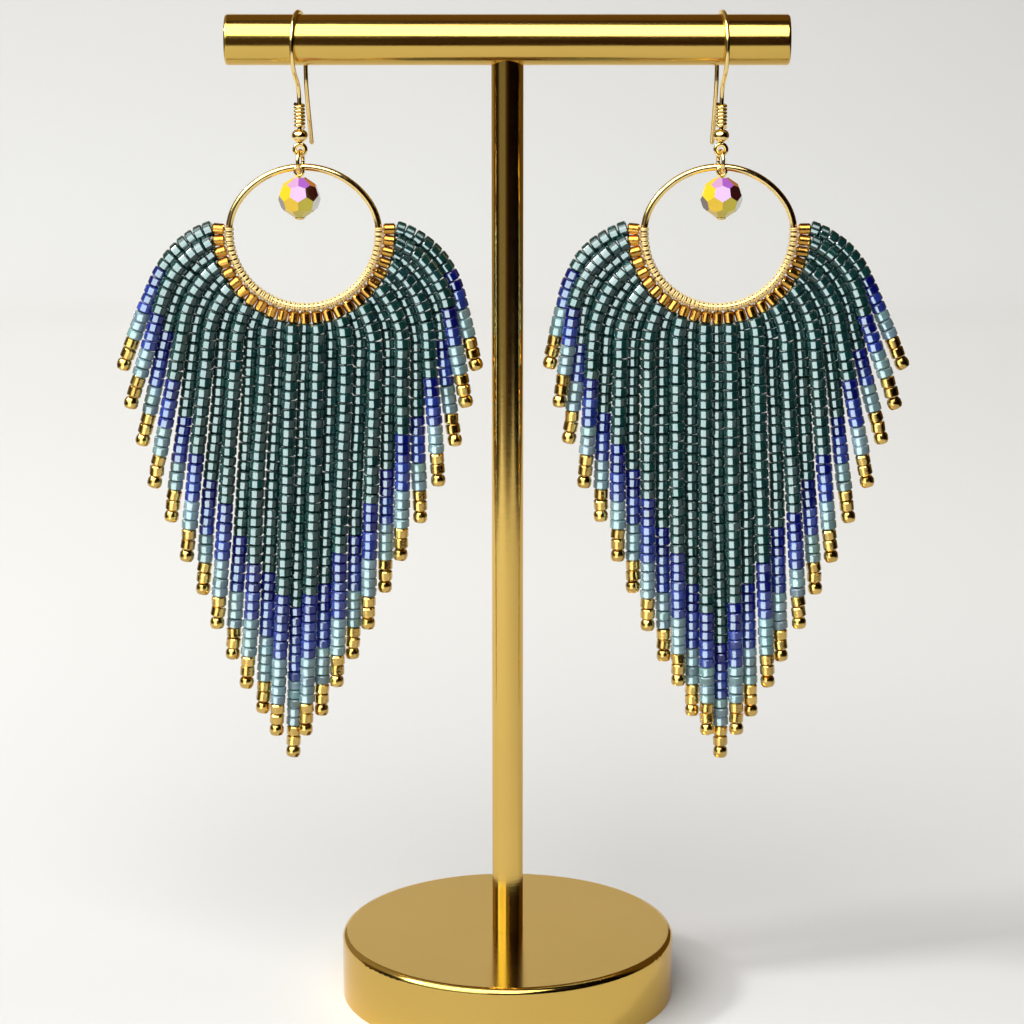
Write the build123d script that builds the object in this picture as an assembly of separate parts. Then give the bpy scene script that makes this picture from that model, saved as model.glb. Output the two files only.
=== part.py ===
"""Pair of beaded fringe earrings hung on a T-bar stand.

Millimetres, +Z up, the viewer looks along +Y. The origin is the centre of the stand's underside.
Each earring is a wire hook over the bar and a drop that swings from the hook's eye: a jump ring, a
wire hoop wound with thread, a faceted bead on a head pin, and a fan of bead strands with gold tips.
"""
import os
from math import acos, atan2, cos, degrees, radians, sin, sqrt

from build123d import *

# Stand
BASE_DIAMETER = 52.0
BASE_HEIGHT = 10.0
BASE_EDGE = 1.0
POST_DIAMETER = 4.8
POST_SEAT = 6.0
BAR_LENGTH = 83.4
BAR_DIAMETER = 7.5
BAR_END_ROUND = 0.4
BAR_AXIS_Z = 149.2
FIT_GAP = 0.05

# How far each hook sits to the right of its even place on the bar
HOOK_SHIFT = {"left": 0.6, "right": 0.3}

# Ear hook: wire bent over the bar, with a turned eye below
HOOK_WIRE = 0.65
HOOK_CROWN_RADIUS = 4.6
HOOK_TURN = {"left": 9.0, "right": 6.0}
REST_GAP = 0.03
SHANK_ABOVE_COIL = 0.2
FRONT_BEND_SHARE = 0.6
TAIL_STRAIGHT = 4.0
TAIL_FLARE = 20.0
TAIL_FLARE_RADIUS = 14.0
TAIL_END = 7.2
EYE_DIAMETER = 2.25
EYE_DROP = 17.35
BALL_DIAMETER = 2.4
BALL_HEIGHT = 1.86
COIL_WIRE = 0.5
COIL_PITCH = 0.53
COIL_TURNS = 6.5

# Jump ring, hoop and thread wrap
RING_WIRE = 0.55
RING_BORE = 2.72
RING_TURN = 10.0
RING_SLIT = 3.0
HOOP_WIRE = 1.05
HOOP_RADIUS = 11.24
HOOP_TOP_HEIGHT = 9.95
HOOP_SHOULDER_RADIUS = 8.5
HOOP_SHIFT = {"left": 0.4, "right": -0.1}
WRAP_THICKNESS = 0.22
WRAP_PAST_ROW = 2.0

# Crystal on its pin
CRYSTAL_DIAMETER = 5.8
CRYSTAL_ROW_ANGLES = (54.0, 18.0, -18.0, -54.0)
CRYSTAL_FACETS_PER_ROW = 8
CRYSTAL_TABLE_HEIGHT = 2.95
CRYSTAL_BORE = 0.62
PIN_WIRE = 0.45
PIN_EYE_DIAMETER = 1.7
PIN_HEAD_DIAMETER = 1.5
PIN_HEAD_HEIGHT = 0.4

# Fringe: a row of gold beads under the wrap, and the strands that hang from it
HEAD_GAP = 0.06
HEAD_BEAD_LENGTH = 1.72
HEAD_BEAD_DIAMETER = 1.5
HEAD_BAND = 1.0
STRANDS_PER_SIDE = 12
FAN_ANGLE = 93.0
STRAND_DIAMETER = 2.1
STRAND_STAGGER = 0.6
STRAND_LEAVE_ANGLE = 72.0
STRAND_BEND_RADIUS = 14.0
TIP_BEAD_DIAMETER = 2.2
FRINGE_HALF_WIDTH = 27.0
FRINGE_LENGTH = 82.8
FRINGE_TO_POST = 1.0

# How far each fringe's tips hang to the right of their even places: in its middle and at its two sides
FRINGE_LEAN = {"left": (-2.7, -0.6), "right": (1.5, 1.5)}

# Where each strand ends, from the middle strand outwards:
# share of the half width to the side, share of the fringe length below the hoop's widest level
TIP_SHARES = (
    (0.000, 1.000),
    (0.083, 0.948),
    (0.170, 0.914),
    (0.256, 0.856),
    (0.340, 0.807),
    (0.432, 0.745),
    (0.522, 0.678),
    (0.610, 0.613),
    (0.706, 0.541),
    (0.803, 0.474),
    (0.888, 0.397),
    (0.950, 0.325),
    (1.000, 0.254),
)

# Places, levels and radii that follow from the sizes above, from the bar down
EARRING_X = POST_DIAMETER / 2 + FRINGE_TO_POST + TIP_BEAD_DIAMETER / 2 + FRINGE_HALF_WIDTH
HOOK_CROWN_Z = BAR_AXIS_Z + BAR_DIAMETER / 2 + HOOK_WIRE / 2 + REST_GAP
EYE_RADIUS = (EYE_DIAMETER - HOOK_WIRE) / 2
EYE_Z = BAR_AXIS_Z - EYE_DROP + EYE_DIAMETER / 2
SWING_Z = EYE_Z - EYE_RADIUS
BALL_Z = EYE_Z + (EYE_DIAMETER + BALL_HEIGHT) / 2 + REST_GAP
COIL_RADIUS = (HOOK_WIRE + COIL_WIRE) / 2 + REST_GAP
COIL_START_Z = BALL_Z + (BALL_HEIGHT + COIL_WIRE) / 2 + REST_GAP
SHANK_TOP_Z = COIL_START_Z + COIL_PITCH * COIL_TURNS + COIL_WIRE / 2 + SHANK_ABOVE_COIL
RING_RADIUS = (RING_BORE + RING_WIRE) / 2
RING_Z = SWING_Z + HOOK_WIRE / 2 + REST_GAP - RING_BORE / 2
HOOP_Z = RING_Z - RING_BORE / 2 + REST_GAP + HOOP_WIRE / 2 - HOOP_TOP_HEIGHT
PIN_EYE_RADIUS = (PIN_EYE_DIAMETER - PIN_WIRE) / 2
PIN_FORWARD = (HOOP_WIRE + PIN_WIRE) / 2 + 2 * REST_GAP
PIN_HANG = (RING_BORE - PIN_WIRE) / 2 - REST_GAP
PIN_EYE_Z = RING_Z - sqrt(PIN_HANG**2 - PIN_FORWARD**2) - PIN_EYE_RADIUS
CRYSTAL_Z = PIN_EYE_Z - PIN_EYE_DIAMETER / 2 - REST_GAP - CRYSTAL_TABLE_HEIGHT
WRAP_RADIUS = HOOP_WIRE / 2 + REST_GAP + WRAP_THICKNESS
HEAD_RADIUS = HOOP_RADIUS + WRAP_RADIUS + HEAD_GAP
HEAD_END_RADIUS = HEAD_RADIUS + HEAD_BEAD_LENGTH
FAN_STEP = FAN_ANGLE / STRANDS_PER_SIDE


def facing_plane(x, z):
    """Plane that faces the viewer: local x to the right, local y up, local z towards the viewer."""
    return Plane(origin=(x, 0, z), x_dir=(1, 0, 0), z_dir=(0, -1, 0))


def side_plane(x, z, turn):
    """Plane seen edge-on: local x towards the viewer, local y up, turned about the vertical."""
    toward = (sin(radians(turn)), -cos(radians(turn)), 0)
    return Plane(origin=(x, 0, z), x_dir=toward, z_dir=(toward[1], -toward[0], 0))


def tangent_path(start, heading, moves):
    """Edges in the XY plane, each tangent to the last: a (length, 0) run or a (radius, turn) bend."""
    edges = []
    point = Vector(*start)
    for size, turn in moves:
        along = Vector(cos(radians(heading)), sin(radians(heading)))
        edge = JernArc(point, along, size, turn) if turn else Line(point, point + along * size)
        edges.append(edge)
        point = edge @ 1
        heading += turn
    return edges


def wire_along(edges, diameter):
    """Round wire swept along edges that join tangentially."""
    path = Wire(edges)
    section = Plane(origin=path @ 0, z_dir=path % 0) * Circle(diameter / 2)
    return sweep(section, path=path)


def arc_of_section(section, radius, start, turn):
    """Section (local x outwards, local y along the axis) carried round the Z axis at a radius."""
    placed = Plane(origin=(radius, 0, 0), x_dir=(1, 0, 0), z_dir=(0, -1, 0)) * section
    return Rot(0, 0, start) * revolve(placed, axis=Axis.Z, revolution_arc=turn)


def lower_arc(section, radius, past_row):
    """Section carried round below the hoop's centre, by some degrees past the outermost strands."""
    half_turn = FAN_ANGLE + past_row
    return arc_of_section(section, radius, 270 - half_turn, 2 * half_turn)


def make_base_disc():
    """Heavy disc with a rounded top edge and a socket for the post."""
    upward = (Align.CENTER, Align.CENTER, Align.MIN)
    disc = Cylinder(BASE_DIAMETER / 2, BASE_HEIGHT, align=upward)
    disc = fillet(disc.edges().filter_by(GeomType.CIRCLE).sort_by(Axis.Z)[-1], BASE_EDGE)
    socket = Cylinder(POST_DIAMETER / 2 + FIT_GAP, BASE_HEIGHT, align=upward)
    return disc - Pos(0, 0, BASE_HEIGHT - POST_SEAT - FIT_GAP) * socket


def make_post():
    """Round rod from its socket in the base to its socket in the bar."""
    bottom = BASE_HEIGHT - POST_SEAT
    length = BAR_AXIS_Z - FIT_GAP - bottom
    rod = Cylinder(POST_DIAMETER / 2, length, align=(Align.CENTER, Align.CENTER, Align.MIN))
    return Pos(0, 0, bottom) * rod


def make_cross_bar():
    """Round bar with rounded ends, bored from below up to its axis for the post."""
    bar = Cylinder(BAR_DIAMETER / 2, BAR_LENGTH, rotation=(0, 90, 0))
    bar = fillet(bar.edges().filter_by(GeomType.CIRCLE), BAR_END_ROUND)
    downward = (Align.CENTER, Align.CENTER, Align.MAX)
    bore = Cylinder(POST_DIAMETER / 2 + FIT_GAP, BAR_DIAMETER, align=downward)
    return Pos(0, 0, BAR_AXIS_Z) * (bar - bore)


def make_ear_hook(x, turn_out):
    """Eye, straight shank, a double bend out to the front, the crown over the bar and a flared tail."""
    shank_foot = EYE_Z + EYE_RADIUS
    rise = HOOK_CROWN_Z - HOOK_CROWN_RADIUS - SHANK_TOP_Z
    turn = 2 * degrees(atan2(HOOK_CROWN_RADIUS, rise))
    both_radii = rise / sin(radians(turn))
    moves = (
        (SHANK_TOP_Z - shank_foot, 0),
        (both_radii * (1 - FRONT_BEND_SHARE), -turn),
        (both_radii * FRONT_BEND_SHARE, turn),
        (HOOK_CROWN_RADIUS, 180),
        (TAIL_STRAIGHT, 0),
        (TAIL_FLARE_RADIUS, -TAIL_FLARE),
        (TAIL_END, 0),
    )
    edges = tangent_path((0, 0), 90, moves)
    rounded_end = Pos(*(edges[-1] @ 1)) * Sphere(HOOK_WIRE / 2)
    bent_wire = wire_along(edges, HOOK_WIRE) + rounded_end
    eye = facing_plane(x, EYE_Z) * Torus(EYE_RADIUS, HOOK_WIRE / 2)
    return side_plane(x, shank_foot, turn_out) * bent_wire + eye


def make_hook_ball(x):
    """Small flattened bead, drilled for the shank."""
    bulge = BALL_HEIGHT / 2
    inner = HOOK_WIRE / 2 + REST_GAP
    profile = Pos(BALL_DIAMETER / 2 - bulge, 0) * Circle(bulge)
    profile += Pos((BALL_DIAMETER / 2 - bulge) / 2, 0) * Rectangle(BALL_DIAMETER / 2 - bulge, BALL_HEIGHT)
    ball = revolve(Plane.XZ * profile, axis=Axis.Z)
    return Pos(x, 0, BALL_Z) * (ball - Cylinder(inner, BALL_HEIGHT * 2))


def make_hook_coil(x):
    """Wire wound round the shank above the ball."""
    helix = Helix(COIL_PITCH, COIL_PITCH * COIL_TURNS, COIL_RADIUS)
    section = Plane(origin=helix @ 0, z_dir=helix % 0) * Circle(COIL_WIRE / 2)
    return Pos(x, 0, COIL_START_Z) * sweep(section, path=helix, is_frenet=True)


def make_link_ring(x, side):
    """Jump ring with a narrow slit at the back, turned a little about the vertical."""
    ring = arc_of_section(Circle(RING_WIRE / 2), RING_RADIUS, 180 + RING_SLIT / 2, 360 - RING_SLIT)
    return side_plane(x, RING_Z, side * RING_TURN) * ring


def make_hoop(x):
    """Closed wire hoop: half a circle below, and a flatter three-centred arch above."""
    inset = HOOP_RADIUS - HOOP_SHOULDER_RADIUS
    sag = HOOP_TOP_HEIGHT - HOOP_SHOULDER_RADIUS
    top_radius = (inset**2 + HOOP_TOP_HEIGHT**2 - HOOP_SHOULDER_RADIUS**2) / (2 * sag)
    shoulder = degrees(atan2(top_radius - HOOP_TOP_HEIGHT, inset))
    moves = (
        (HOOP_RADIUS, 180),
        (HOOP_SHOULDER_RADIUS, shoulder),
        (top_radius, 180 - 2 * shoulder),
        (HOOP_SHOULDER_RADIUS, shoulder),
    )
    return facing_plane(x, HOOP_Z) * wire_along(tangent_path((-HOOP_RADIUS, 0), -90, moves), HOOP_WIRE)


def make_hoop_wrap(x):
    """Sleeve of thread on the lower half of the hoop, a little past the row of beads at each end."""
    section = Circle(WRAP_RADIUS) - Circle(HOOP_WIRE / 2 + REST_GAP)
    sleeve = lower_arc(section, HOOP_RADIUS, WRAP_PAST_ROW)
    return facing_plane(x, HOOP_Z) * sleeve


def make_crystal(x):
    """Faceted round bead: four rows of facets and a flat table round each end of its bore."""
    stone = Box(CRYSTAL_DIAMETER * 1.2, CRYSTAL_DIAMETER * 1.2, CRYSTAL_TABLE_HEIGHT * 2)
    step = 360 / CRYSTAL_FACETS_PER_ROW
    for row, rise in enumerate(CRYSTAL_ROW_ANGLES):
        for facet in range(CRYSTAL_FACETS_PER_ROW):
            around = radians(-90 + step * (facet + (row + 1) % 2 / 2))
            level = cos(radians(rise))
            normal = Vector(level * cos(around), level * sin(around), sin(radians(rise)))
            cut = Plane(origin=normal * (CRYSTAL_DIAMETER / 2), z_dir=normal)
            stone = split(stone, bisect_by=cut, keep=Keep.BOTTOM)
    stone -= Cylinder(CRYSTAL_BORE / 2, CRYSTAL_DIAMETER * 2)
    return Pos(x, -PIN_FORWARD, CRYSTAL_Z) * stone


def make_crystal_pin(x):
    """Head pin through the crystal, with its turned eye in the jump ring."""
    head_top = CRYSTAL_Z - CRYSTAL_TABLE_HEIGHT - REST_GAP
    shank_top = PIN_EYE_Z - PIN_EYE_RADIUS
    shank = Cylinder(PIN_WIRE / 2, shank_top - head_top, align=(Align.CENTER, Align.CENTER, Align.MIN))
    head = Cylinder(PIN_HEAD_DIAMETER / 2, PIN_HEAD_HEIGHT, align=(Align.CENTER, Align.CENTER, Align.MAX))
    head = fillet(head.edges().filter_by(GeomType.CIRCLE).sort_by(Axis.Z)[0], PIN_HEAD_HEIGHT * 0.8)
    eye = facing_plane(0, PIN_EYE_Z - head_top) * Torus(PIN_EYE_RADIUS, PIN_WIRE / 2)
    return Pos(x, -PIN_FORWARD, head_top) * (head + shank + eye)


def strand_edges(index, shift, lean):
    """Path of one strand about the hoop's centre: out of its gold bead, round a bend, straight to its tip."""
    hand = -1 if index < 0 else 1
    side_share, drop_share = TIP_SHARES[abs(index)]
    tip_lean = lean[1] + (lean[0] - lean[1]) * (1 - side_share**2)
    tip = Vector(FRINGE_HALF_WIDTH * side_share + hand * (tip_lean - shift), -FRINGE_LENGTH * drop_share)
    fan = radians(FAN_STEP * abs(index))
    leave_angle = fan * STRAND_LEAVE_ANGLE / FAN_ANGLE
    leave = Vector(sin(fan), -cos(fan)) * HEAD_END_RADIUS
    start = leave - Vector(sin(leave_angle), -cos(leave_angle)) * (HEAD_BEAD_LENGTH / 2)
    if index == 0:
        return [Line(start, tip + Vector(0, TIP_BEAD_DIAMETER / 2))]
    centre = leave - Vector(cos(leave_angle), sin(leave_angle)) * STRAND_BEND_RADIUS
    reach = tip - centre
    end_angle = atan2(reach.Y, reach.X) + acos(STRAND_BEND_RADIUS / reach.length)
    middle, bend_end = (centre + Vector(cos(angle), sin(angle)) * STRAND_BEND_RADIUS
                        for angle in ((leave_angle + end_angle) / 2, end_angle))
    end = tip - (tip - bend_end).normalized() * (TIP_BEAD_DIAMETER / 2)
    corners = (start, leave, middle, bend_end, end)
    start, leave, middle, bend_end, end = (Vector(p.X * hand, p.Y) for p in corners)
    return [Line(start, leave), ThreePointArc(leave, middle, bend_end), Line(bend_end, end)]


def make_fringe(x, shift, lean):
    """Band and row of gold beads, strands and tip beads, fused into one piece."""
    band = lower_arc(Rectangle(HEAD_BAND, HEAD_BAND), HEAD_RADIUS + HEAD_BEAD_LENGTH / 2, FAN_STEP / 4)
    pieces = []
    for index in range(-STRANDS_PER_SIDE, STRANDS_PER_SIDE + 1):
        bead = Pos(0, -HEAD_RADIUS) * (Rot(90, 0, 0) * Cylinder(
            HEAD_BEAD_DIAMETER / 2, HEAD_BEAD_LENGTH, align=(Align.CENTER, Align.CENTER, Align.MIN)))
        pieces.append(Rot(0, 0, index * FAN_STEP) * bead)
        edges = strand_edges(index, shift, lean)
        depth = Pos(0, 0, STRAND_STAGGER if index % 2 else -STRAND_STAGGER)
        pieces.append(depth * wire_along(edges, STRAND_DIAMETER))
        tip_bead = Plane(origin=edges[-1] @ 1, z_dir=edges[-1] % 1) * Sphere(TIP_BEAD_DIAMETER / 2)
        pieces.append(depth * tip_bead)
    return facing_plane(x, HOOP_Z) * band.fuse(*pieces)


def make_drop(side_name, x, side):
    """Pieces that swing together from one hook's eye."""
    shift = HOOP_SHIFT[side_name]
    pin_x = x + side * PIN_FORWARD * sin(radians(RING_TURN))
    return {
        "link_ring": make_link_ring(x, side),
        "hoop": make_hoop(x + shift),
        "hoop_wrap": make_hoop_wrap(x + shift),
        "crystal": make_crystal(pin_x),
        "crystal_pin": make_crystal_pin(pin_x),
        "fringe": make_fringe(x + shift, shift, FRINGE_LEAN[side_name]),
    }


def make_pieces():
    """All pieces by node name."""
    pieces = {"base_disc": make_base_disc(), "post": make_post(), "cross_bar": make_cross_bar()}
    for side_name, side in (("left", -1), ("right", 1)):
        x = side * EARRING_X + HOOK_SHIFT[side_name]
        earring = {
            "ear_hook": make_ear_hook(x, side * HOOK_TURN[side_name]),
            "hook_coil": make_hook_coil(x),
            "hook_ball": make_hook_ball(x),
            **make_drop(side_name, x, side),
        }
        pieces.update({f"{side_name}_{name}": piece for name, piece in earring.items()})
    return pieces


os.makedirs("parts", exist_ok=True)
for node, piece in make_pieces().items():
    piece.label = node
    export_step(piece, f"parts/{node}.step")
print(f"earrings {EARRING_X:.3f} mm either side and their hook shifts, swing axis at z = {SWING_Z:.3f} mm")
print(f"hoop centre z = {HOOP_Z:.3f}, crystal centre z = {CRYSTAL_Z:.3f}, ring centre z = {RING_Z:.3f}")
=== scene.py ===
# %% [markdown]
# # Fringe earrings on a T-bar stand
# Two beaded fringe earrings hang on a brass stand. The stand, the wire parts and the crystals come from the
# CAD model and only get their finishes here. The beadwork is what this lesson models: the CAD has a plain fan
# of tubes in its place, and here every seed bead is made, strung and coloured.

# %% Load the frame
import math
import random

import bmesh
import bpy
import numpy as np
from mathutils import Matrix, Vector


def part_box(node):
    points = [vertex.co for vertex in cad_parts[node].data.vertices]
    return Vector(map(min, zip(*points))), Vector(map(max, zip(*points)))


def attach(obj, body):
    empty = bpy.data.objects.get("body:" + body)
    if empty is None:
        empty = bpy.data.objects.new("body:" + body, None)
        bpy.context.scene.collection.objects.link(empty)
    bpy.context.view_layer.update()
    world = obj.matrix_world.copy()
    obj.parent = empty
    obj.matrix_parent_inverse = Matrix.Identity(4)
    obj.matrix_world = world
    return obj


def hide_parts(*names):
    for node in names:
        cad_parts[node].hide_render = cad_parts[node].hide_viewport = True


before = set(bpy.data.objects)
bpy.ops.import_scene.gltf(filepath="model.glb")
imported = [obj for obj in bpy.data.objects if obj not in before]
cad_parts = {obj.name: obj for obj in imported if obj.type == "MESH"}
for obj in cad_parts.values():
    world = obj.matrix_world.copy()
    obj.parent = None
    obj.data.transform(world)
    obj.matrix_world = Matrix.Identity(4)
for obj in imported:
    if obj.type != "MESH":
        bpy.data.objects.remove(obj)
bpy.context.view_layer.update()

MM = 0.001
SIDES = ("left", "right")
scene = bpy.context.scene
print("nodes:", sorted(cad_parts))

# %% [markdown]
# ## The camera
# The photograph was taken with a long lens from a little above, square to the front. Its focal length in
# pixels, its tilt and its distance were measured on the stand, so they are set as numbers and nothing is
# framed by eye. A long lens keeps the bar's edges parallel, as they are in the photograph.

# %% Camera
IMAGE_PIXELS = 1024
FOCAL_PIXELS = 3100
SENSOR_WIDTH_MM = 36
CAMERA_TILT = math.radians(13.2)
CAMERA_DISTANCE = 474.5 * MM
CAMERA_TARGET = Vector((0.68, 0, 77.5)) * MM

camera_data = bpy.data.cameras.new("photo_camera")
camera_data.sensor_width = SENSOR_WIDTH_MM
camera_data.lens = FOCAL_PIXELS / IMAGE_PIXELS * SENSOR_WIDTH_MM
camera = bpy.data.objects.new("photo_camera", camera_data)
scene.collection.objects.link(camera)
camera_back = Vector((0, -math.cos(CAMERA_TILT), math.sin(CAMERA_TILT)))
camera.location = CAMERA_TARGET + camera_back * CAMERA_DISTANCE
camera.rotation_euler = (math.pi / 2 - CAMERA_TILT, 0, 0)
scene.camera = camera
scene.view_settings.view_transform = "Standard"
print(f"lens {camera_data.lens:.1f} mm at {camera.location[:]}")

# %% [markdown]
# ## Small helpers
# Every new shape but the threads starts as a primitive and is then shaped in edit mode. The operators act on
# whatever is selected, so these helpers deselect everything first and select faces or edges by a test on
# their place.

# %% Selecting and finishing
SMOOTH_BELOW = math.radians(40)


def deselect_all():
    """Leave nothing selected, so that the next operator only meets what it is given."""
    for thing in bpy.context.selected_objects:
        thing.select_set(False)


def select_alone(thing):
    """Select one object and make it the active one."""
    deselect_all()
    thing.select_set(True)
    bpy.context.view_layer.objects.active = thing


def start_editing():
    """Edit mode on the active object, with nothing selected in it."""
    bpy.ops.object.mode_set(mode="EDIT")
    bpy.ops.mesh.select_all(action="DESELECT")


def select_faces(thing, test):
    """Select the faces that pass the test, in edit mode."""
    bpy.ops.mesh.select_mode(type="FACE")
    shape = bmesh.from_edit_mesh(thing.data)
    for face in shape.faces:
        face.select_set(test(face))
    bmesh.update_edit_mesh(thing.data)


def select_edges(thing, test):
    """Select the edges that pass the test, in edit mode."""
    bpy.ops.mesh.select_mode(type="EDGE")
    shape = bmesh.from_edit_mesh(thing.data)
    for edge in shape.edges:
        edge.select_set(test(edge))
    bmesh.update_edit_mesh(thing.data)


def smooth_sides(thing):
    """Smooth shading, with a hard edge where the surface turns more sharply."""
    select_alone(thing)
    bpy.ops.object.shade_smooth_by_angle(angle=SMOOTH_BELOW)


# %% [markdown]
# ## The studio
# The photograph has a pale sheet that runs from the table up behind the stand without a line. It is one
# plane: its back edge is pulled up and the corner between the two parts is rounded. Its size matters too. The
# bar and the post mirror it, and the dark bands in the gold start where the sheet ends.

# %% Floor and backdrop
SHEET_FRONT = -0.35
SHEET_BACK = 0.95
SHEET_WIDTH = 0.64
SHEET_RISE = 0.55
SHEET_CORNER = 0.3
SHEET_CORNER_STEPS = 24
NEAR = 0.1 * MM

deselect_all()
bpy.ops.mesh.primitive_plane_add(size=1, location=(0, (SHEET_FRONT + SHEET_BACK) / 2, 0))
backdrop = bpy.context.object
backdrop.name = "studio_sheet"
backdrop.scale = (SHEET_WIDTH, SHEET_BACK - SHEET_FRONT, 1)
bpy.ops.object.transform_apply(location=True, rotation=True, scale=True)
start_editing()
select_edges(backdrop, lambda edge: all(v.co.y > SHEET_BACK - NEAR for v in edge.verts))
bpy.ops.mesh.extrude_region_move(TRANSFORM_OT_translate={"value": (0, 0, SHEET_RISE)})
select_edges(backdrop, lambda edge: all(v.co.y > SHEET_BACK - NEAR and v.co.z < NEAR for v in edge.verts))
bpy.ops.mesh.bevel(offset=SHEET_CORNER, segments=SHEET_CORNER_STEPS, affect="EDGES")
bpy.ops.object.mode_set(mode="OBJECT")
smooth_sides(backdrop)
print(f"sheet of {len(backdrop.data.polygons)} faces")

# %% [markdown]
# ## The light
# One large soft box hangs in front, above and to the left. It gives the white band along the bar. A low wide
# one below it gives the yellow stripe where the post and the base mirror each other. A small one far to the
# left draws the long soft shadow to the right of the stand.

# %% Soft boxes
SOFTBOXES = {
    "main_softbox": dict(azimuth=-33, elevation=52, distance=1.35, width=2.2, height=1.25, radiance=4.7),
    "low_softbox": dict(azimuth=-45, elevation=20, distance=1.3, width=1.5, height=0.24, radiance=2.7,
                        colour=(0.75, 1.0, 0.85)),
    "side_softbox": dict(azimuth=-77, elevation=36, distance=1.1, width=0.15, height=0.15, radiance=95),
}
LIT_HEIGHT = 100 * MM


def hang_softbox(name, azimuth, elevation, distance, width, height, radiance, colour=(1, 1, 1), aim_x=0.0):
    """Rectangular light that faces the earrings' height. Azimuth is to the right of the camera's side."""
    around, rise = math.radians(azimuth), math.radians(elevation)
    toward = Vector((math.sin(around) * math.cos(rise), -math.cos(around) * math.cos(rise), math.sin(rise)))
    data = bpy.data.lights.new(name, "AREA")
    data.shape = "RECTANGLE"
    data.size = width
    data.size_y = height
    data.energy = radiance * math.pi * width * height
    data.color = colour
    light = bpy.data.objects.new(name, data)
    light.location = Vector((aim_x, 0, LIT_HEIGHT)) + toward * distance
    light.rotation_euler = (-toward).to_track_quat("-Z", "Y").to_euler()
    light.visible_camera = False
    scene.collection.objects.link(light)
    print(f"{name}: {data.energy:.1f} W")
    return light


for name, setting in SOFTBOXES.items():
    hang_softbox(name, **setting)

# %% [markdown]
# ## Building with nodes
# The room and all the finishes are trees of shader nodes. The same few steps come back in each tree, so each
# gets a helper. The ones that mix colours and do sums take either a plain value or another node's output.

# %% Node helpers
MIX_FACTOR, MIX_FIRST, MIX_SECOND, MIX_RESULT = 0, 6, 7, 2


def node(tree, kind, **settings):
    """New shader node with its properties and its unlinked inputs set by name."""
    made = tree.nodes.new(kind)
    for name, value in settings.items():
        if name in made.inputs.keys():
            made.inputs[name].default_value = value
        else:
            setattr(made, name, value)
    return made


def feed(tree, socket, value):
    """Link another node's output to a socket, or set the socket to a number or a colour."""
    if isinstance(value, bpy.types.NodeSocket):
        tree.links.new(value, socket)
    elif isinstance(value, tuple):
        socket.default_value = (*value, 1)
    else:
        socket.default_value = value


def mix(tree, factor, first, second, blend_type="MIX"):
    """Mix of two colours by the factor."""
    mixer = node(tree, "ShaderNodeMix", data_type="RGBA", blend_type=blend_type)
    for number, value in ((MIX_FACTOR, factor), (MIX_FIRST, first), (MIX_SECOND, second)):
        feed(tree, mixer.inputs[number], value)
    return mixer.outputs[MIX_RESULT]


def calculate(tree, operation, *values):
    """Result of a math node on plain numbers or outputs."""
    step = node(tree, "ShaderNodeMath", operation=operation)
    for number, value in enumerate(values):
        feed(tree, step.inputs[number], value)
    return step.outputs[0]


def split(tree, vector):
    """The X, Y and Z of a vector."""
    parts = node(tree, "ShaderNodeSeparateXYZ")
    tree.links.new(vector, parts.inputs[0])
    return parts.outputs


def left_to_right(tree, direction_x):
    """Share from 0 at the left to 1 at the right, from the X of a direction."""
    return calculate(tree, "MULTIPLY_ADD", direction_x, 0.5, 0.5)


def ramp(tree, value, stops, interpolation="LINEAR"):
    """Colour from a ramp with the given (place, colour) stops."""
    made = tree.nodes.new("ShaderNodeValToRGB")
    made.color_ramp.interpolation = interpolation
    elements = made.color_ramp.elements
    while len(elements) < len(stops):
        elements.new(0.5)
    for element, (place, colour) in zip(elements, stops):
        element.position = place
        element.color = (*colour, 1)
    tree.links.new(value, made.inputs[0])
    return made.outputs[0]


# %% [markdown]
# The room round the sheet is dark. It is lighter to the left, which draws the olive line down the post, and
# dim and warm behind the sheet, as the top of the bar shows. The camera itself sees it pale.

# %% World
ROOM_FROM_LEFT = (
    (0.03, (0.02, 0.012, 0.008)),
    (0.09, (0.24, 0.23, 0.20)),
    (0.33, (0.24, 0.23, 0.20)),
    (0.44, (0.06, 0.035, 0.02)),
    (0.52, (0.04, 0.015, 0.01)),
    (0.62, (0.003, 0.001, 0.001)),
)
ROOM_BEHIND = (
    (0.05, (0, 0, 0)),
    (0.30, (0.13, 0.08, 0.02)),
)
ROOM_SEEN = (0.80, 0.79, 0.77)

world = bpy.data.worlds.new("studio_room")
scene.world = world
world.use_nodes = True
room = world.node_tree
room.nodes.clear()
direction = split(room, node(room, "ShaderNodeTexCoord").outputs["Generated"])
from_left = ramp(room, left_to_right(room, direction["X"]), ROOM_FROM_LEFT)
from_behind = ramp(room, direction["Y"], ROOM_BEHIND)
dark_room = mix(room, 1.0, from_left, from_behind, "ADD")
seen = node(room, "ShaderNodeLightPath").outputs["Is Camera Ray"]
shine = node(room, "ShaderNodeBackground")
room.links.new(mix(room, seen, dark_room, ROOM_SEEN), shine.inputs["Color"])
room.links.new(shine.outputs[0], node(room, "ShaderNodeOutputWorld").inputs["Surface"])
print("world nodes:", len(room.nodes))

# %% [markdown]
# ## Finishes
# Each finish is a small tree round one Principled shader. Its patterns are noises on Object coordinates. The
# noise on the stand is stretched along the way the metal was brushed, and the beads take their colour from an
# attribute.

# %% Finish helpers
NOISE_LOW, NOISE_HIGH = 0.3, 0.7


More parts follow.
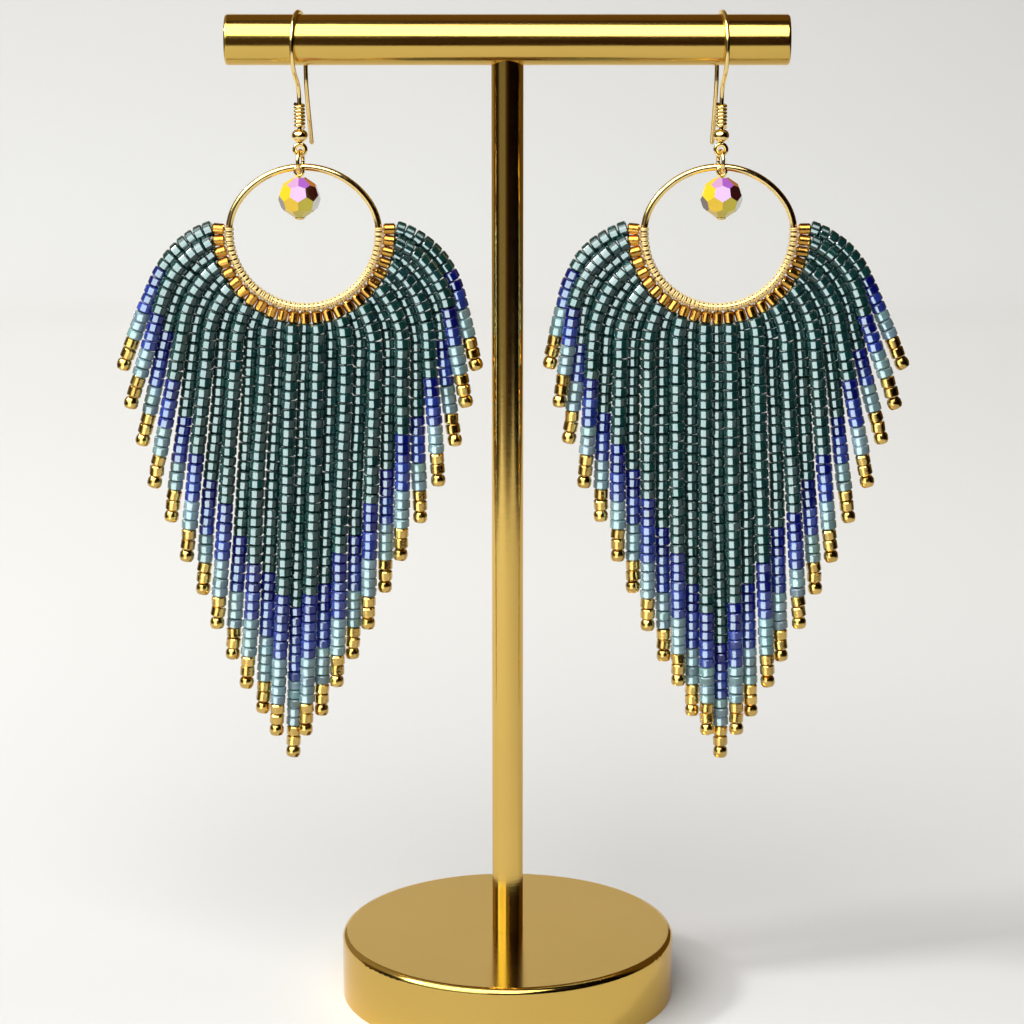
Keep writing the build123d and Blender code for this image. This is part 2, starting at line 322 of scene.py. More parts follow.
def new_finish(name, **sockets):
    """Material with one Principled shader, and its tree, shader and Object coordinates."""
    finish = bpy.data.materials.new(name)
    finish.use_nodes = True
    tree = finish.node_tree
    shader = tree.nodes["Principled BSDF"]
    for socket, value in sockets.items():
        shader.inputs[socket.replace("_", " ")].default_value = value
    place = node(tree, "ShaderNodeTexCoord")
    return finish, tree, shader, place.outputs["Object"]


def streaks(tree, place, fineness, stretch=(1, 1, 1), detail=3):
    """Noise on Object coordinates, of the given fineness and longer where the stretch is small."""
    mapping = node(tree, "ShaderNodeMapping", Scale=stretch)
    noise = node(tree, "ShaderNodeTexNoise", Scale=fineness, Detail=detail)
    tree.links.new(place, mapping.inputs[0])
    tree.links.new(mapping.outputs[0], noise.inputs["Vector"])
    return noise.outputs["Fac"]


def spread(tree, noise, low, high):
    """Noise, whose values lie near the middle, spread from low to high."""
    numbers = {"From Min": NOISE_LOW, "From Max": NOISE_HIGH, "To Min": low, "To Max": high}
    ranged = node(tree, "ShaderNodeMapRange", **numbers)
    tree.links.new(noise, ranged.inputs["Value"])
    return ranged.outputs[0]


def add_bump(tree, shader, height, depth):
    """Bump of the given depth in metres on the shader's normal."""
    bump = node(tree, "ShaderNodeBump", Distance=depth, Strength=1.0)
    tree.links.new(height, bump.inputs["Height"])
    tree.links.new(bump.outputs[0], shader.inputs["Normal"])


def wear_finish(names, finish):
    """Give CAD nodes a finish."""
    for name in names:
        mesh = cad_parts[name].data
        mesh.materials.clear()
        mesh.materials.append(finish)


# %% [markdown]
# ## The stand
# The stand is brass with a fine satin brush. The brush lines are a noise that is stretched along the way the
# part was turned or drawn, and it drives the roughness and a bump of a few thousandths of a millimetre. Lines
# cut into the mesh would need far too many faces. Gold loses its colour at grazing angles, and the specular
# tint keeps some of it, as the photograph's base does.

# %% Brass of the stand
BRUSH_FINENESS = 900
BRUSH_DEPTH = 0.003 * MM
SMOOTHEST_BRUSH, ROUGHEST_BRUSH = 0.8, 1.25
WEAR_FINENESS = 60


def brushed_brass(name, colour, worn, brush_way, roughness):
    """Satin brass, brushed the given way, with faint cloudy wear."""
    finish, tree, shader, place = new_finish(name, Metallic=1.0, Specular_Tint=(1.0, 0.9, 0.78, 1))
    brush = streaks(tree, place, BRUSH_FINENESS, brush_way)
    wear = streaks(tree, place, WEAR_FINENESS, detail=4)
    tree.links.new(mix(tree, wear, colour, worn), shader.inputs["Base Color"])
    satin = spread(tree, brush, roughness * SMOOTHEST_BRUSH, roughness * ROUGHEST_BRUSH)
    tree.links.new(satin, shader.inputs["Roughness"])
    add_bump(tree, shader, brush, BRUSH_DEPTH)
    return finish


base_brass = brushed_brass("base_brass", (0.67, 0.45, 0.12), (0.61, 0.405, 0.095), (0.12, 4, 4), 0.13)
bar_brass = brushed_brass("bar_brass", (0.65, 0.435, 0.105), (0.59, 0.39, 0.09), (0.05, 3, 3), 0.15)
post_brass = brushed_brass("post_brass", (0.72, 0.485, 0.13), (0.66, 0.43, 0.11), (0.5, 0.5, 6), 0.12)
wear_finish(["base_disc"], base_brass)
wear_finish(["cross_bar"], bar_brass)
wear_finish(["post"], post_brass)
print("stand finishes:", base_brass.name, bar_brass.name, post_brass.name)

# %% [markdown]
# ## Gold wire
# The hooks, rings, hoops and pins are polished gold plate on drawn wire. A coarser noise makes the plate a
# little uneven, so that the reflections waver along the wire.

# %% Gold wire
WIRE_NODES = ("ear_hook", "hook_coil", "hook_ball", "link_ring", "hoop", "crystal_pin")
PLATE_PALE = (0.90, 0.70, 0.31)
PLATE_DEEP = (0.82, 0.59, 0.22)
PLATE_DEPTH = 0.006 * MM
PLATE_ROUGHNESS = (0.08, 0.17)

wire_gold, tree, shader, place = new_finish("wire_gold", Metallic=1.0, Specular_Tint=(1.0, 0.9, 0.66, 1))
tree.links.new(mix(tree, streaks(tree, place, 700), PLATE_PALE, PLATE_DEEP), shader.inputs["Base Color"])
tree.links.new(spread(tree, streaks(tree, place, 1500), *PLATE_ROUGHNESS), shader.inputs["Roughness"])
add_bump(tree, shader, streaks(tree, place, 2500), PLATE_DEPTH)
wear_finish([f"{side}_{part}" for side in SIDES for part in WIRE_NODES], wire_gold)
print("wire nodes:", len(SIDES) * len(WIRE_NODES))

# %% [markdown]
# ## The crystal
# The faceted bead has a thin iridescent coat. Such a coat shows one colour on each facet, by the way that the
# facet faces. A true thin film would change with the view, so the colour is read from the facet's own normal
# instead: one row of colours from left to right for the upper facets, one for the lower facets, and yellow
# for the ends. The rows also hold painted light: the near-black facets turned to the right and at the lower
# left are painted shade, and the near-white facets at the right are painted reflections. The same colour also
# feeds a faint emission, a painted glow. A weak noise lets two colours share a facet that faces near the
# border between them.

# %% Crystal
# Upper facets: coat colours, with painted shade on the near-black facet and a painted reflection on the
# near-white one.
UPPER_FACETS_AND_PAINTED_LIGHT = (
    (0.00, (0.80, 0.58, 0.03)),
    (0.06, (0.44, 0.17, 0.012)),
    (0.13, (0.68, 0.46, 0.02)),
    (0.31, (0.48, 0.26, 0.44)),
    (0.42, (0.36, 0.21, 0.48)),
    (0.56, (0.34, 0.10, 0.48)),
    (0.69, (0.56, 0.20, 0.05)),
    (0.78, (0.045, 0.006, 0.006)),
    (0.90, (0.86, 0.86, 0.88)),
)
# Lower facets: coat colours, with painted shade on the near-black facet at the left and a painted reflection
# on the near-white one.
LOWER_FACETS_AND_PAINTED_LIGHT = (
    (0.00, (0.05, 0.015, 0.004)),
    (0.14, (0.50, 0.22, 0.01)),
    (0.25, (0.66, 0.42, 0.015)),
    (0.42, (0.56, 0.45, 0.02)),
    (0.58, (0.56, 0.46, 0.03)),
    (0.74, (0.80, 0.80, 0.78)),
)
END_YELLOW = (0.78, 0.64, 0.12)
END_STEEPNESS = 0.9
HAZE = 0.10
HAZE_FINENESS = 420

# The emission makes every facet glow faintly in its colour: a painted glow.
crystal_finish, tree, shader, place = new_finish(
    "crystal_finish", Metallic=0.15, Roughness=0.06, IOR=1.5, Emission_Strength=0.07,
    Coat_Weight=0.35, Coat_Roughness=0.02)
facing = split(tree, place.node.outputs["Normal"])
cloud = streaks(tree, place, HAZE_FINENESS, detail=1)
haze = calculate(tree, "MULTIPLY_ADD", cloud, HAZE, -HAZE / 2)
across = calculate(tree, "ADD", left_to_right(tree, facing["X"]), haze)
upper = ramp(tree, across, UPPER_FACETS_AND_PAINTED_LIGHT, "CONSTANT")
lower = ramp(tree, across, LOWER_FACETS_AND_PAINTED_LIGHT, "CONSTANT")
is_upper = calculate(tree, "GREATER_THAN", facing["Z"], 0.0)
is_end = calculate(tree, "GREATER_THAN", calculate(tree, "ABSOLUTE", facing["Z"]), END_STEEPNESS)
facet_colour_and_painted_light = mix(tree, is_end, mix(tree, is_upper, lower, upper), END_YELLOW)
# The facet colour, with its painted shade and reflections, drives both the base colour and the painted glow.
for socket in ("Base Color", "Emission Color"):
    tree.links.new(facet_colour_and_painted_light, shader.inputs[socket])
wear_finish([f"{side}_crystal" for side in SIDES], crystal_finish)
print("crystal nodes:", len(tree.nodes))

# %% [markdown]
# ## One seed bead
# A seed bead is a short glass tube that was tumbled until its rims went round. A turned profile would do too,
# but a ten-sided cylinder gets there in fewer steps: its end caps are inset and opened, the two openings are
# bridged into the bore, and the outer rims are bevelled. Some 1500 copies are strung, so it stops at sixty
# faces. The gold beads of the row and the round ones at the tips are made in the same way.

# %% Seed bead
SEED_BEAD = dict(diameter=2.50 * MM, length=1.42 * MM, bore=0.7 * MM, rounding=0.19 * MM)
ROW_BEAD = dict(diameter=1.72 * MM, length=1.82 * MM, bore=0.5 * MM, rounding=0.22 * MM)
END_BEAD = dict(diameter=2.24 * MM, length=1.9 * MM, bore=0.5 * MM, rounding=0.62 * MM, sides=12, rim_steps=2)
JUST_INSIDE = 0.98
LEVEL = 0.001 * MM


def model_bead(name, diameter, length, bore, rounding, sides=10, rim_steps=1):
    """Bead along Z, centred on the origin: a mesh with a bore and rounded rims."""
    deselect_all()
    bpy.ops.mesh.primitive_cylinder_add(vertices=sides, radius=diameter / 2, depth=length)
    bead = bpy.context.object
    bead.name = name
    start_editing()
    select_faces(bead, lambda face: abs(face.normal.z) > END_STEEPNESS)
    bpy.ops.mesh.inset(thickness=(diameter - bore) / 2, use_even_offset=False, use_individual=True)
    bpy.ops.mesh.delete(type="FACE")
    select_edges(bead, lambda edge: edge.is_boundary)
    bpy.ops.mesh.bridge_edge_loops()
    rim = diameter / 2 * math.cos(math.pi / sides) * JUST_INSIDE
    select_edges(bead, lambda edge: all(v.co.xy.length > rim for v in edge.verts)
                 and abs(edge.verts[0].co.z - edge.verts[1].co.z) < LEVEL)
    bpy.ops.mesh.bevel(offset=rounding, segments=rim_steps, affect="EDGES")
    bpy.ops.mesh.select_all(action="SELECT")
    bpy.ops.mesh.normals_make_consistent(inside=False)
    bpy.ops.object.mode_set(mode="OBJECT")
    smooth_sides(bead)
    return bead


seed_bead = model_bead("seed_bead", **SEED_BEAD)
row_bead = model_bead("row_bead", **ROW_BEAD)
end_bead = model_bead("end_bead", **END_BEAD)
for shape in (seed_bead, row_bead, end_bead):
    print(shape.name, len(shape.data.polygons), "faces")

# %% [markdown]
# ## Where each bead hangs
# The hoop carries twenty-five strands. Each one leaves its gold row bead in a fan, bends over its neighbour
# and then falls straight to its tip. The outline of the tips was measured on the photograph and is kept as a
# table of shares. The places are the ones that the CAD uses for its plain tubes, and the hoop's own place and
# size are read from the frame. The row's space is a little shorter than a row bead, so the row beads press on
# the thread of the hoop.

# %% Sizes of the beadwork
STRANDS_PER_SIDE = 12
FAN_REACH = 93
LEAVE_REACH = 72
FAN_STEP = math.radians(FAN_REACH / STRANDS_PER_SIDE)
BEND_RADIUS = 14.0 * MM
STAGGER = 0.6 * MM
ROW_GAP = 0.21 * MM
ROW_SPACE = 1.72 * MM
HALF_WIDTH = 27.0 * MM
FRINGE_LENGTH = 82.8 * MM
FRINGE_LEAN = {"left": (-2.7 * MM, -0.6 * MM), "right": (1.5 * MM, 1.5 * MM)}
TIP_SHARES = (
    (0.000, 1.000),
    (0.083, 0.948),
    (0.170, 0.914),
    (0.256, 0.856),
    (0.340, 0.807),
    (0.432, 0.745),
    (0.522, 0.678),
    (0.610, 0.613),
    (0.706, 0.541),
    (0.803, 0.474),
    (0.888, 0.397),
    (0.950, 0.325),
    (1.000, 0.254),
)
STRANDS = range(-STRANDS_PER_SIDE, STRANDS_PER_SIDE + 1)
print("strands on each hoop:", len(STRANDS))


# %% Hoops in the frame
def middle_x(node_name):
    """Middle of a CAD node from left to right."""
    low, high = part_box(node_name)
    return (low.x + high.x) / 2


def measure_hoop(side):
    """Centre and radius of a hoop's wire, and the wire's thickness."""
    low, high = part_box(f"{side}_hoop")
    wire = high.y - low.y
    radius = (high.x - low.x - wire) / 2
    return Vector((middle_x(f"{side}_hoop"), 0, low.z + wire / 2 + radius)), radius, wire


HOOP_CENTRES = {side: measure_hoop(side)[0] for side in SIDES}
HOOP_RADIUS, HOOP_WIRE = measure_hoop("left")[1:]
HOOK_X = {side: middle_x(f"{side}_hook_ball") for side in SIDES}
ROW_RADIUS = HOOP_RADIUS + HOOP_WIRE / 2 + ROW_GAP
for side in SIDES:
    print(side, "hoop centre, mm:", [round(v / MM, 2) for v in HOOP_CENTRES[side]])


# %% Course of a strand
def polar(angle):
    """Point on the unit circle, with the angle counted from straight down to the right."""
    return Vector((math.sin(angle), -math.cos(angle)))


def strand_course(index, side):
    """Length of a strand below its row bead, and a function of the length that gives place and heading."""
    hand = -1 if index < 0 else 1
    side_share, drop_share = TIP_SHARES[abs(index)]
    in_middle, at_sides = FRINGE_LEAN[side]
    lean = at_sides + (in_middle - at_sides) * (1 - side_share**2)
    shift = HOOP_CENTRES[side].x - HOOK_X[side]
    tip = Vector((HALF_WIDTH * side_share + hand * (lean - shift), -FRINGE_LENGTH * drop_share))
    fan = FAN_STEP * abs(index)
    leave_angle = fan * LEAVE_REACH / FAN_REACH
    leave = polar(fan) * (ROW_RADIUS + ROW_SPACE)
    if index == 0:
        fall = (tip - leave).normalized()
        return (tip - leave).length, lambda along: (leave + fall * along, fall)
    centre = leave - Vector((math.cos(leave_angle), math.sin(leave_angle))) * BEND_RADIUS
    reach = tip - centre
    end_angle = math.atan2(reach.y, reach.x) + math.acos(BEND_RADIUS / reach.length)
    bend = BEND_RADIUS * (leave_angle - end_angle)
    bend_end = centre + Vector((math.cos(end_angle), math.sin(end_angle))) * BEND_RADIUS

    def at(along):
        if along < bend:
            angle = leave_angle - along / BEND_RADIUS
            place = centre + Vector((math.cos(angle), math.sin(angle))) * BEND_RADIUS
        else:
            angle = end_angle
            place = bend_end + polar(angle) * (along - bend)
        heading = polar(angle)
        return Vector((place.x * hand, place.y)), Vector((heading.x * hand, heading.y))

    return bend + (tip - bend_end).length, at


for side in SIDES:
    lengths = [strand_course(index, side)[0] for index in STRANDS]
    print(side, "strand lengths, mm:", [round(length / MM, 1) for length in lengths])


# %% Setting a bead on its strand
def point_by_hoop(side, place, depth):
    """Point in the room from a place beside and below the hoop's centre, and a depth towards the viewer."""
    return HOOP_CENTRES[side] + Vector((place.x, -depth, place.y))


def bead_matrix(side, place, depth, heading, spin, scale=(1, 1, 1), tilt=(0, 0)):
    """Matrix that sets a bead on a strand: its axis along the heading, spun and tilted a little."""
    axis = Vector((heading.x, 0, heading.y))
    turn = axis.to_track_quat("Z", "Y").to_matrix().to_4x4()
    lean = Matrix.Rotation(tilt[0], 4, "X") @ Matrix.Rotation(tilt[1], 4, "Y") @ Matrix.Rotation(spin, 4, "Z")
    return Matrix.Translation(point_by_hoop(side, place, depth)) @ turn @ lean @ Matrix.Diagonal((*scale, 1))


# %% [markdown]
# ## Colours of the strands
# Every strand goes from teal through cobalt and periwinkle to sky blue and ends in three gold beads. The
# blue part is longer in the middle of the fan than at its sides, and its beads were counted on each earring.
# Each bead's colour gets a small random change, because no two beads of a string look quite alike.

# %% Bead colours
TEAL = (0.004, 0.028, 0.026)
COBALT = (0.002, 0.004, 0.10)
PERIWINKLE = (0.013, 0.026, 0.175)
SKY = (0.125, 0.198, 0.218)
TIP_GOLD = (0.62, 0.41, 0.11)
ROW_GOLD = (0.54, 0.28, 0.045)
BLUE_COUNTS = {
    "left": (13, 12, 12, 11, 11, 10, 9, 9, 8, 8, 8, 7, 7),
    "right": (10, 10, 11, 11, 11, 10, 9, 9, 8, 8, 8, 7, 7),
}
COBALT_SHARE = 0.24
PERIWINKLE_SHARE = 0.56
GLASS_SHADES = (0.78, 1.2)
GLASS_HUES = (0.93, 1.07)
TIP_SHADES = (0.85, 1.1)
ROW_SHADES = (0.8, 1.1)


def bead_colours(side, index, count, dice):
    """Kind and colour of a strand's glass beads, from the top down."""
    blues = BLUE_COUNTS[side][abs(index)] + dice.choice((-1, 0, 0, 0, 1))
    colours = []
    for place in range(count):
        share = (place - (count - blues)) / blues
        if share < 0:
            colour = TEAL
        elif share < COBALT_SHARE:
            colour = COBALT
        elif share < PERIWINKLE_SHARE:
            colour = PERIWINKLE
        else:
            colour = SKY
        shade = dice.uniform(*GLASS_SHADES)
        own = tuple(channel * shade * dice.uniform(*GLASS_HUES) for channel in colour)
        colours.append(("teal" if share < 0 else "blue", own))
    return colours


# %% [markdown]
# ## Stringing the beads
# A strand's beads sit rim to rim, and each is turned and tilted by a few degrees at most. A strand also sways
# a little from its even course. All copies of one kind on one earring are joined into one mesh, with the
# bead's colour written on its points as an attribute. An object for each bead would give 1600 of them, and a
# material for each colour as many.

# %% Joining copies
COLOUR_ATTRIBUTE = "bead_colour"


def join_copies(name, shape, placements):
    """One mesh object of many copies of a shape. A placement is (matrix, colour)."""
    base = np.array([v.co for v in shape.data.vertices])
    faces = [tuple(face.vertices) for face in shape.data.polygons]
    sharp = {tuple(sorted(edge.vertices)) for edge in shape.data.edges if edge.use_edge_sharp}
    points, loops, colours = [], [], []
    for count, (matrix, colour) in enumerate(placements):
        move = np.array(matrix)
        points.append(base @ move[:3, :3].T + move[:3, 3])
        loops.extend(tuple(corner + count * len(base) for corner in face) for face in faces)
        colours.append(np.tile((*colour, 1.0), (len(base), 1)))
    mesh = bpy.data.meshes.new(name)
    mesh.from_pydata(np.concatenate(points).tolist(), [], loops)
    tint = mesh.attributes.new(COLOUR_ATTRIBUTE, "FLOAT_COLOR", "POINT")
    tint.data.foreach_set("color", np.concatenate(colours).ravel())
    for edge in mesh.edges:
        first, second = sorted(edge.vertices)
        start = first - first % len(base)
        edge.use_edge_sharp = (first - start, second - start) in sharp
    mesh.polygons.foreach_set("use_smooth", [True] * len(mesh.polygons))
    joined = bpy.data.objects.new(name, mesh)
    scene.collection.objects.link(joined)
    print(f"{name}: {len(placements)} copies, {len(mesh.polygons)} faces")
    return joined


# %% A strand's small unevenness
SWAY = 0.14 * MM
SWAY_SHARES = (0.3, 1.0)
SWAY_TURNS = (0.5, 1.6)
SWAY_GROWTH = 0.3


def random_tilt(dice, most):
    """Small turns about a bead's two cross axes."""
    return dice.uniform(-most, most), dice.uniform(-most, most)


def tinted(colour, shade):
    """A colour, lighter or darker by the shade."""
    return tuple(channel * shade for channel in colour)


def swaying(at, length, dice):
    """The strand's course with a slow sway to the side and in depth, which is nothing at the top."""
    waves = [(dice.uniform(*SWAY_TURNS), dice.uniform(0, math.tau), dice.uniform(*SWAY_SHARES) * SWAY)
             for _ in ("aside", "deep")]

    def swayed(along):
        place, heading = at(along)
        grow = min(1.0, along / (SWAY_GROWTH * length))
        aside, deep = (size * grow * math.sin(turns * math.tau * along / length + start)
                       for turns, start, size in waves)
        return place + Vector((heading.y, -heading.x)) * aside, heading, deep

    return swayed


# %% One earring's fringe
SEED_PITCH = 1.46 * MM
SEED_GAP = 0.03 * MM
SEED_WIDTHS = (0.96, 1.02)
SEED_LENGTHS = (0.94, 1.0)
SEED_TILT = 0.07
TIP_CENTRES = (0.82 * MM, 2.47 * MM, 4.26 * MM)
TIP_SCALE = (0.9, 0.9, 1.13)
TIP_TILT = 0.12
TIPS_LENGTH = 5.25 * MM
TIP_UNEVEN = 0.5 * MM
ROW_TILT = 0.06


def lay_out_fringe(side, dice):
    """Placements of an earring's glass, tip, end and row beads, and the points that its threads pass."""
    glass = {"teal": [], "blue": []}
    tips, ends, row, threads = [], [], [], []
    for index in STRANDS:
        depth = STAGGER if index % 2 else -STAGGER
        length, course = strand_course(index, side)
        at = swaying(course, length, dice)
        glass_length = length - TIPS_LENGTH - dice.uniform(0, TIP_UNEVEN)
        count = round(glass_length / SEED_PITCH)
        pitch = glass_length / count
        outward = polar(FAN_STEP * index)
        row_spot = outward * (ROW_RADIUS + ROW_SPACE / 2)
        thread = [(outward * (HOOP_RADIUS + HOOP_WIRE / 2), 0), (row_spot, 0)]
        for place, (kind, colour) in enumerate(bead_colours(side, index, count, dice)):
            spot, heading, deep = at((place + 0.5) * pitch)
            thread.append((spot, depth + deep))
            wide = dice.uniform(*SEED_WIDTHS)
            scale = (wide, wide, (pitch - SEED_GAP) / SEED_BEAD["length"] * dice.uniform(*SEED_LENGTHS))
            tilt = random_tilt(dice, SEED_TILT)
            spin = dice.uniform(0, math.tau)
            glass[kind].append((bead_matrix(side, spot, depth + deep, heading, spin, scale, tilt), colour))
        for centre, gilt in zip(TIP_CENTRES, (tips, tips, ends)):
            spot, heading, deep = at(glass_length + centre)
            thread.append((spot, depth + deep))
            colour = tinted(TIP_GOLD, dice.uniform(*TIP_SHADES))
            tilt = random_tilt(dice, TIP_TILT)
            scale = TIP_SCALE if gilt is tips else (1, 1, 1)
            spin = dice.uniform(0, math.tau)
            gilt.append((bead_matrix(side, spot, depth + deep, heading, spin, scale, tilt), colour))
        threads.append(thread)
        colour = tinted(ROW_GOLD, dice.uniform(*ROW_SHADES))
        tilt = random_tilt(dice, ROW_TILT)
        spin = dice.uniform(0, math.tau)
        row.append((bead_matrix(side, row_spot, 0, outward, spin, tilt=tilt), colour))
    return {**glass, "tips": tips, "ends": ends, "row": row, "threads": threads}


# %% [markdown]
# The glass beads are dark glass with a clear, hard surface. A Principled shader gives both at once: a tinted
# body and a clear coat over it. The body's own specular is low, so that only the coat gleams. The gilt beads
# are metal under a thin coat.

# %% Bead finishes
DEEP_GLASS = (0.7, 0.7, 0.7)
PALE_GLASS = (1.2, 1.2, 1.2)
SMOOTHEST_BEAD, ROUGHEST_BEAD = 0.7, 1.3
BEAD_DEPTH = 0.02 * MM


def bead_finish(name, metallic, roughness, coat):
    """Finish that takes its colour from the bead's attribute."""
    finish, tree, shader, place = new_finish(
        name, Metallic=metallic, Coat_Weight=coat, Coat_Roughness=0.09, Coat_IOR=1.5, Specular_IOR_Level=0.1)
    tint = node(tree, "ShaderNodeAttribute", attribute_name=COLOUR_ATTRIBUTE)
    cloudy = mix(tree, streaks(tree, place, 1400), DEEP_GLASS, PALE_GLASS)
    tree.links.new(mix(tree, 1.0, tint.outputs["Color"], cloudy, "MULTIPLY"), shader.inputs["Base Color"])
    worn = spread(tree, streaks(tree, place, 2200), roughness * SMOOTHEST_BEAD, roughness * ROUGHEST_BEAD)
    tree.links.new(worn, shader.inputs["Roughness"])
    add_bump(tree, shader, streaks(tree, place, 3000), BEAD_DEPTH)
    return finish


BEAD_FINISHES = {
    "glass": bead_finish("lined_glass", metallic=0.0, roughness=0.17, coat=1.0),
    "gilt": bead_finish("gilt_glass", metallic=1.0, roughness=0.17, coat=0.3),
}
print("bead finishes:", [finish.name for finish in BEAD_FINISHES.values()])

# %% [markdown]
# Small lights close to each earring only make gleams, and only on its beads: two bright ones on the glass, in
# front and above, and a weaker one on the gilt. They stand for the silver lining, which throws light back
# through the glass, and draw the bright spot that the photograph shows on the left of every bead.

# %% Gleams on the beads
GLASS_GLEAM = (0.78, 0.98, 0.97)
BEAD_GLEAMS = {
    ("glass", "front"): dict(azimuth=-30, elevation=0, distance=0.14, width=0.20, height=0.23, radiance=13.5,
                             colour=GLASS_GLEAM),
    ("glass", "top"): dict(azimuth=15, elevation=55, distance=0.14, width=0.16, height=0.08, radiance=7.0,
                           colour=GLASS_GLEAM),
    ("gilt", "front"): dict(azimuth=-30, elevation=0, distance=0.14, width=0.10, height=0.23, radiance=2.2),
}
gleaming = {}
for side in SIDES:
    for kind in BEAD_FINISHES:
        gleaming[side, kind] = bpy.data.collections.new(f"{side}_{kind}_beads")
        scene.collection.children.link(gleaming[side, kind])
    for (kind, where), setting in BEAD_GLEAMS.items():
        light = hang_softbox(f"{side}_{kind}_{where}_light", **setting, aim_x=HOOP_CENTRES[side].x)
        light.data.use_shadow = False
        light.visible_diffuse = False
        light.light_linking.receiver_collection = gleaming[side, kind]

# %% String both earrings
SEEDS = {"left": 11, "right": 23}
STRINGS = (
    ("teal_beads", seed_bead, "teal", "glass"),
    ("blue_beads", seed_bead, "blue", "glass"),
    ("gold_tip_beads", seed_bead, "tips", "gilt"),
    ("gold_end_beads", end_bead, "ends", "gilt"),
    ("gold_row_beads", row_bead, "row", "gilt"),
)
THREAD_COURSES = {}
for side in SIDES:
    fringe = lay_out_fringe(side, random.Random(SEEDS[side]))
    THREAD_COURSES[side] = fringe["threads"]
    for name, shape, placements, kind in STRINGS:
        string = join_copies(f"{side}_{name}", shape, fringe[placements])
        string.data.materials.append(BEAD_FINISHES[kind])
        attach(string, f"{side}_drop")
        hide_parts(f"{side}_fringe")
        gleaming[side, kind].objects.link(string)
for shape in (seed_bead, row_bead, end_bead):
    bpy.data.objects.remove(shape)

# %% [markdown]
# ## Threads inside the strands
# Each strand is held by a thread that leaves the hoop, passes the row bead and runs down through every bore.
# It shows between the row beads and the hoop and in the gaps between the beads. Its dark brown is partly the
# thread's own colour and partly painted shade, which darkens the line between the row beads and the hoop and
# the gaps between the beads. A chain of thin cylinders would break at each bend, so it is a curve with a
# round bevel through the beads' own places, turned into a mesh.

# %% Strand threads
STRAND_THREAD = 0.3 * MM
# Dark brown thread colours: the thread's own colour, made darker as painted shade between the hoop and the
# row beads and between the beads.
STRAND_SHADED_DEEP = (0.10, 0.075, 0.03)
STRAND_SHADED_PALE = (0.22, 0.15, 0.06)
FIBRE_DEPTH = 0.02 * MM
FIBRE_STRETCH = (1, 1, 4)

strand_thread, tree, shader, place = new_finish("strand_thread", Roughness=0.6, Sheen_Weight=0.2)
tree.links.new(mix(tree, streaks(tree, place, 2500), STRAND_SHADED_DEEP, STRAND_SHADED_PALE), shader.inputs["Base Color"])
add_bump(tree, shader, streaks(tree, place, 4000, FIBRE_STRETCH), FIBRE_DEPTH)
for side in SIDES:
    outline = bpy.data.curves.new(f"{side}_strand_threads", "CURVE")
    outline.dimensions = "3D"
    outline.bevel_depth = STRAND_THREAD / 2
    outline.bevel_resolution = 0
    outline.use_fill_caps = True
    for points in THREAD_COURSES[side]:
        line = outline.splines.new("POLY")
        line.points.add(len(points) - 1)
        for point, (spot, depth) in zip(line.points, points):
            point.co = (*point_by_hoop(side, spot, depth), 1)
    threads = bpy.data.objects.new(f"{side}_strand_threads", outline)
    scene.collection.objects.link(threads)
    select_alone(threads)
    bpy.ops.object.convert(target="MESH")
    threads.data.materials.append(strand_thread)
    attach(threads, f"{side}_drop")
    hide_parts(f"{side}_fringe")
    print(f"{threads.name}: {len(threads.data.polygons)} faces")

# %% [markdown]
# ## The thread round the hoop
# The row of gold beads is sewn to the hoop with thread, and the thread's loops lie on the wire in pairs. One
# long helix would show no pairs, so each loop is a thin torus. It is made once, with its thread pressed a
# little flat, and its copies are set along the lower half of the hoop.

# %% One loop of thread
THREAD = 0.22 * MM
THREAD_FLATNESS = 1.15
THREAD_PALE = (0.96, 0.78, 0.38)
THREAD_DEEP = (0.66, 0.44, 0.14)
TWIST_DEPTH = 0.03 * MM

deselect_all()
bpy.ops.mesh.primitive_torus_add(
    major_segments=14, minor_segments=6, major_radius=(HOOP_WIRE + THREAD) / 2, minor_radius=THREAD / 2)
thread_loop = bpy.context.object
start_editing()
select_faces(thread_loop, lambda face: True)
bpy.ops.transform.resize(value=(1, 1, THREAD_FLATNESS))
bpy.ops.object.mode_set(mode="OBJECT")
thread_finish, tree, shader, place = new_finish(
    "thread_finish", Metallic=0.35, Roughness=0.42, Sheen_Weight=0.3)
twist = streaks(tree, place, 5000)
tree.links.new(mix(tree, twist, THREAD_DEEP, THREAD_PALE), shader.inputs["Base Color"])
add_bump(tree, shader, twist, TWIST_DEPTH)
print("thread loop:", len(thread_loop.data.polygons), "faces")

# %% Thread loops on the hoops
LOOP_PAIRS = 52
LOOP_APART = 1.1 * THREAD
LOOP_TILT = 0.08
LOOP_SEED = 5
WRAP_REACH = math.radians(95)

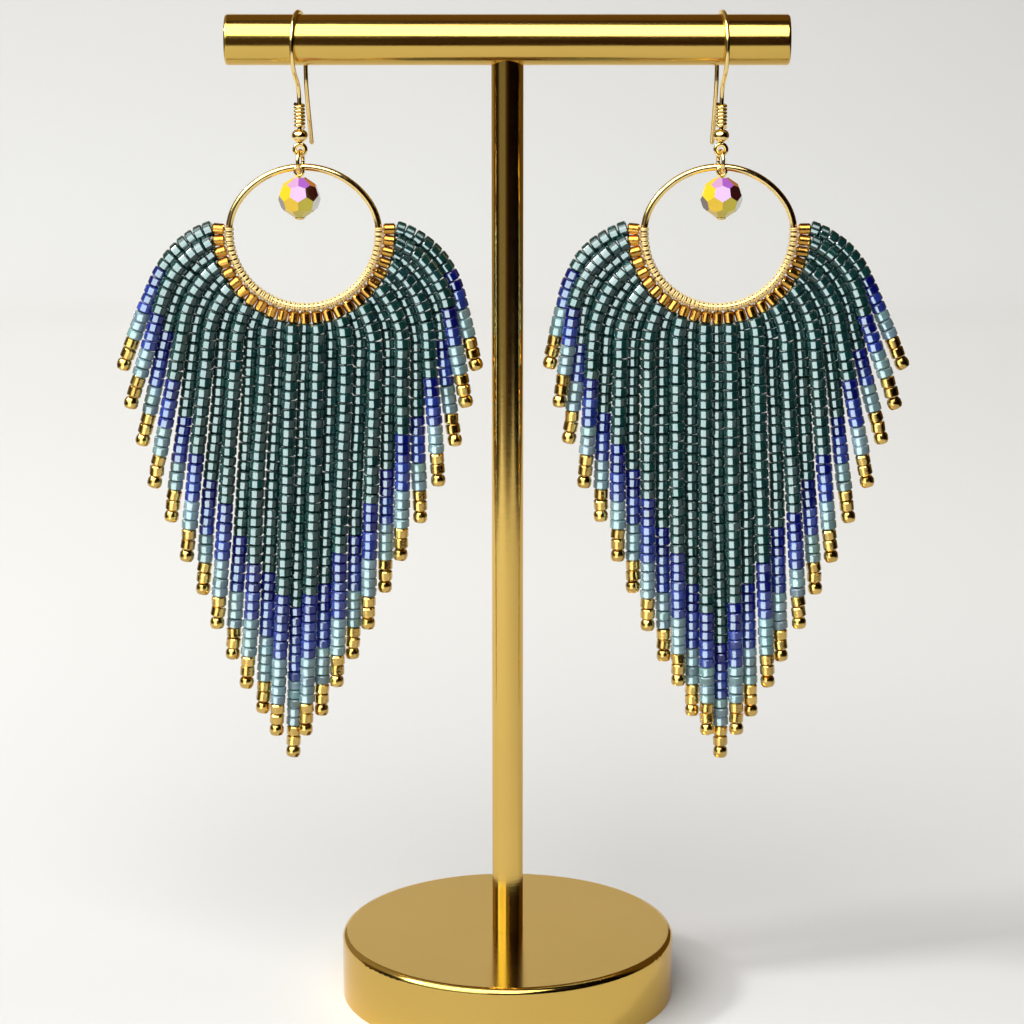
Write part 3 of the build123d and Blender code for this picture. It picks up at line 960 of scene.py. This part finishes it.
for side in SIDES:
    dice = random.Random(LOOP_SEED)
    placements = []
    for pair in range(LOOP_PAIRS):
        for half in (-0.5, 0.5):
            middle = WRAP_REACH * (2 * (pair + 0.5) / LOOP_PAIRS - 1) - math.pi / 2
            angle = middle + half * LOOP_APART / HOOP_RADIUS
            spot = HOOP_CENTRES[side] + Vector((math.cos(angle), 0, math.sin(angle))) * HOOP_RADIUS
            along = Vector((-math.sin(angle), 0, math.cos(angle)))
            lean = Matrix.Rotation(dice.uniform(-LOOP_TILT, LOOP_TILT), 4, "Y")
            turn = along.to_track_quat("Z", "Y").to_matrix().to_4x4()
            placements.append((Matrix.Translation(spot) @ turn @ lean, (1, 1, 1)))
    wrap = join_copies(f"{side}_thread_wrap", thread_loop, placements)
    wrap.data.materials.append(thread_finish)
    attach(wrap, f"{side}_drop")
    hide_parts(f"{side}_hoop_wrap")
bpy.data.objects.remove(thread_loop)

# %% [markdown]
# ## Paper of the sheet
# The sheet is matt paper. Its colour varies very slightly over a hand's width, which keeps the backdrop from
# looking like a computed gradient. It is also painted darker towards its front and up its wall, where these
# lights alone would make it brighter than the photograph's sheet is: this is painted shade, standing in for
# light that falls off there.

# %% Sheet finish
PAPER_DEEP = (0.770, 0.770, 0.759)
PAPER_PALE = (0.798, 0.796, 0.785)
# Painted shade on the sheet by its Y: darker at the front and up the wall, brightest in the middle.
SHEET_PAINTED_SHADE = (
    (0.0, (0.69, 0.69, 0.70)),
    (0.25, (0.835, 0.835, 0.835)),
    (0.48, (0.93, 0.93, 0.93)),
    (0.60, (0.99, 0.99, 0.99)),
    (0.67, (0.99, 0.99, 0.99)),
    (0.755, (0.90, 0.90, 0.90)),
    (0.87, (0.78, 0.77, 0.77)),
)

sheet_finish, tree, shader, place = new_finish("sheet_finish", Roughness=0.9, Specular_IOR_Level=0.2)
paper = mix(tree, streaks(tree, place, 3), PAPER_DEEP, PAPER_PALE)
# The painted shade multiplies the paper colour.
painted_shade = ramp(tree, split(tree, place)["Y"], SHEET_PAINTED_SHADE)
tree.links.new(mix(tree, 1.0, paper, painted_shade, "MULTIPLY"), shader.inputs["Base Color"])
backdrop.data.materials.append(sheet_finish)
print("sheet nodes:", len(tree.nodes))
